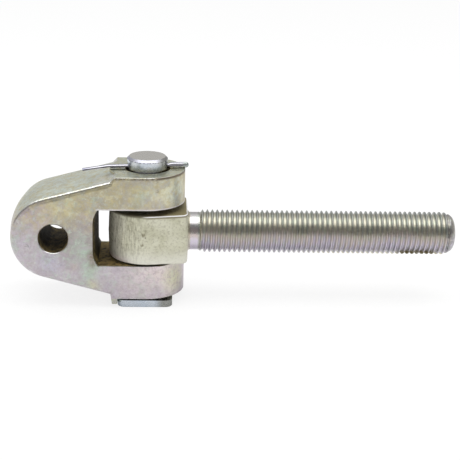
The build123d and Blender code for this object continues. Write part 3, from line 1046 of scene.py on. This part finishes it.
def thread_mesh():
    """The thread as a grid whose radius follows its helix, closed at both ends."""
    columns = round((rod_end_mm - rod_from_mm) / PITCH_MM * PITCH_STEPS)
    shape = bmesh.new()
    rings = []
    for column in range(columns + 1):
        x_mm = rod_from_mm + (rod_end_mm - rod_from_mm) * column / columns
        rings.append(thread_ring(shape, x_mm))
    for left, right in zip(rings, rings[1:]):
        for step in range(TURN_STEPS):
            after = (step + 1) % TURN_STEPS
            shape.faces.new((left[step], right[step], right[after], left[after]))
    shape.faces.new(rings[0])
    shape.faces.new(rings[-1])
    bmesh.ops.recalc_face_normals(shape, faces=shape.faces)
    return smooth_mesh("threaded_rod", shape)


# ---------------------------------------------------------------- eye's shape
EYE_GRID_MM = 0.5
SAME_POINT = 1e-6
PIN_CLEAR_MM = 14.1  # the bore's skin stays just outside the pin
BORE_SKIN_MM = 1.0
SKIN_FADE_MM = 3.0
SKIN_DEPTH_MM = 0.16
SKIN_WAVE_MM = 0.125
SKIN_HAMMERED_MM = 0.07
WAVES_PER_MM = 0.09
HAMMERED_PER_MM = 0.35


def cut_eye():
    """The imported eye, cut off at the neck where the thread's own piece takes over."""
    shape = bmesh.new()
    shape.from_mesh(frame["nodes"]["eye_bolt"].data)
    bmesh.ops.remove_doubles(shape, verts=shape.verts, dist=SAME_POINT)
    bmesh.ops.bisect_plane(
        shape,
        geom=shape.verts[:] + shape.edges[:] + shape.faces[:],
        dist=SAME_POINT,
        plane_co=(cut_mm * MM, 0, 0),
        plane_no=(1, 0, 0),
        clear_outer=True,
    )
    rim = [edge for edge in shape.edges if edge.is_boundary]
    bmesh.ops.holes_fill(shape, edges=rim)
    mesh = bpy.data.meshes.new("cut_eye")
    shape.to_mesh(mesh)
    shape.free()
    return mesh


def fine_grid(mesh):
    """The same solid as an even grid of small faces."""
    coarse = bpy.data.objects.new("coarse_eye", mesh)
    bpy.context.scene.collection.objects.link(coarse)
    remesh = coarse.modifiers.new("grid", "REMESH")
    remesh.mode = "VOXEL"
    remesh.voxel_size = EYE_GRID_MM * MM
    evaluated = coarse.evaluated_get(bpy.context.evaluated_depsgraph_get())
    grid = bpy.data.meshes.new_from_object(evaluated)
    bpy.data.objects.remove(coarse)
    return grid


def forged_skin_mm(place):
    """How far the forged skin lies below the drawn surface, in millimetres."""
    waves = noise.noise(place * WAVES_PER_MM) * SKIN_WAVE_MM
    hammered = noise.noise(place * HAMMERED_PER_MM) * SKIN_HAMMERED_MM
    return SKIN_DEPTH_MM + waves + hammered


def eye_mesh():
    """The eye as a fine even grid, with the uneven skin of a forging outside its bore."""
    mesh = fine_grid(cut_eye())
    skin_from_mm = PIN_CLEAR_MM + BORE_SKIN_MM
    normals = [vertex.normal.copy() for vertex in mesh.vertices]
    for vertex, normal in zip(mesh.vertices, normals):
        place = vertex.co / MM
        from_axis = math.hypot(place.x - pin_axis_mm, place.y)
        if from_axis < skin_from_mm:
            spread = max(PIN_CLEAR_MM / from_axis, 1.0)
            vertex.co.x = pin_axis_x + (vertex.co.x - pin_axis_x) * spread
            vertex.co.y *= spread
        else:
            fade = min((from_axis - skin_from_mm) / SKIN_FADE_MM, 1.0)
            vertex.co -= normal * forged_skin_mm(place) * fade * MM
    mesh.shade_smooth()
    return mesh


def add_piece(name, mesh, material, body):
    piece = bpy.data.objects.new(name, mesh)
    bpy.context.scene.collection.objects.link(piece)
    paint(piece, material)
    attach(piece, body)
    return piece


def build_eye_bolt():
    """The eye and the threaded rod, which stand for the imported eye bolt."""
    eye = add_piece("forged_eye", eye_mesh(), eye_material(), "rod")
    add_piece("threaded_rod", thread_mesh(), thread_material(), "rod")
    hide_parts("eye_bolt")


# ---------------------------------------------------------------- studio
WHITE = colour(1, 1, 1)
FLOOR_RADIUS = 8.0
FLOOR_SIDES = 96
FLOOR_SEEN = colour(0.22, 0.22, 0.22)  # takes the shadow in what the camera sees
FLOOR_SEEN_GLOW = 0.80
FLOOR_PAINT = colour(0.78, 0.78, 0.78)  # lights and shows in the part
FLOOR_REFLECTED_GLOW = 0.08
ROOM_LIGHT = 0.72
UNLIT_ROOM = 0.24
SWEEP_LEVEL = 0.55
IN_FRONT = (-0.30, 0.25)  # of a reflected direction's Y
BELOW_LAMP = (0.76, 0.93)  # of its Z
SWEEP_RISE = (0.50, 0.93)
LAMP_CENTRE = (0.12, -0.05, 1.3)
LAMP_AIM = (0.12, -0.05, 0)
LAMP_SIZE = (2.0, 1.05)
LAMP_RADIANCE = 1.6


def sees_background(graph):
    """1 for the rays that show the background: the camera's, and those that metal and glass send on."""
    rays = graph.node("LightPath").outputs
    seen = graph.math("MAXIMUM", rays["Is Camera Ray"], rays["Is Glossy Ray"])
    return graph.math("MAXIMUM", seen, rays["Is Transmission Ray"])


def glowing_paint(graph, paint_colour, glow):
    """Matt paint that also gives off a little white light."""
    matt = graph.node("BsdfDiffuse", Color=paint_colour)
    light = graph.node("Emission", Color=WHITE, Strength=glow)
    both = graph.node("AddShader")
    graph.put(both.inputs[0], matt.outputs[0])
    graph.put(both.inputs[1], light.outputs[0])
    return both.outputs[0]


def floor_paint():
    """White paint. The camera sees it nearly at full white, so the part's shadow on it stays faint."""
    material = bpy.data.materials.new("floor_paint")
    material.use_nodes = True
    graph = Graph(material.node_tree)
    reflected_glow = graph.product(sees_background(graph), FLOOR_REFLECTED_GLOW)
    both = graph.node("MixShader")
    graph.put(both.inputs[0], graph.node("LightPath").outputs["Is Camera Ray"])
    graph.put(both.inputs[1], glowing_paint(graph, FLOOR_PAINT, reflected_glow))
    graph.put(both.inputs[2], glowing_paint(graph, FLOOR_SEEN, FLOOR_SEEN_GLOW))
    output = graph.node("OutputMaterial")
    graph.put(output.inputs["Surface"], both.outputs[0])
    return material


def add_floor():
    """A round floor far wider than the view, under the lowest point of the part."""
    shape = bmesh.new()
    bmesh.ops.create_circle(shape, cap_ends=True, segments=FLOOR_SIDES, radius=FLOOR_RADIUS)
    mesh = bpy.data.meshes.new("floor")
    shape.to_mesh(mesh)
    shape.free()
    floor = bpy.data.objects.new("floor", mesh)
    floor.location = (pin_axis_x, 0, cad_box[0].z)
    paint(floor, floor_paint())
    bpy.context.scene.collection.objects.link(floor)


def add_softbox(name, centre, aim, size, radiance):
    """A rectangular lamp that shines with the radiance given, where 1 is white."""
    data = bpy.data.lights.new(name, "AREA")
    data.shape = "RECTANGLE"
    data.size, data.size_y = size
    data.energy = radiance * math.pi * size[0] * size[1]
    lamp = bpy.data.objects.new(name, data)
    lamp.location = centre
    lamp.rotation_mode = "QUATERNION"
    lamp.rotation_quaternion = (Vector(aim) - Vector(centre)).to_track_quat("-Z", "Y")
    bpy.context.scene.collection.objects.link(lamp)


def room_seen(graph):
    """What the metal reflects: a white sweep behind, and the unlit room in front above the floor."""
    direction = graph.node("SeparateXYZ", Vector=graph.node("TexCoord").outputs["Generated"]).outputs
    in_front = graph.fall(direction["Y"], *IN_FRONT)
    below_lamp = graph.fall(direction["Z"], *BELOW_LAMP)
    sweep = graph.ramp(direction["Z"], *SWEEP_RISE, SWEEP_LEVEL, 1.0)
    return graph.between(graph.product(in_front, below_lamp), sweep, UNLIT_ROOM)


def light_studio():
    """One lamp overhead, and a world that lights, shows in the metal and gives a white background."""
    world = bpy.data.worlds.new("studio")
    bpy.context.scene.world = world
    world.use_nodes = True
    graph = Graph(world.node_tree)
    reflected = graph.between(sees_background(graph), ROOM_LIGHT, room_seen(graph))
    from_camera = graph.node("LightPath").outputs["Is Camera Ray"]
    strength = graph.between(from_camera, reflected, 1.0)
    background = graph.node("Background", Color=WHITE, Strength=strength)
    output = graph.node("OutputWorld")
    graph.put(output.inputs["Surface"], background.outputs[0])
    add_softbox("overhead", LAMP_CENTRE, LAMP_AIM, LAMP_SIZE, LAMP_RADIANCE)


# ---------------------------------------------------------------- the scene
place_camera()
light_studio()
add_floor()
nodes = frame["nodes"]
paint(nodes["fork_head"], fork_material())
paint(nodes["clevis_pin"], pin_material())
paint(nodes["split_pin"], wire_material())
build_eye_bolt()
bpy.context.scene.view_settings.view_transform = "Standard"
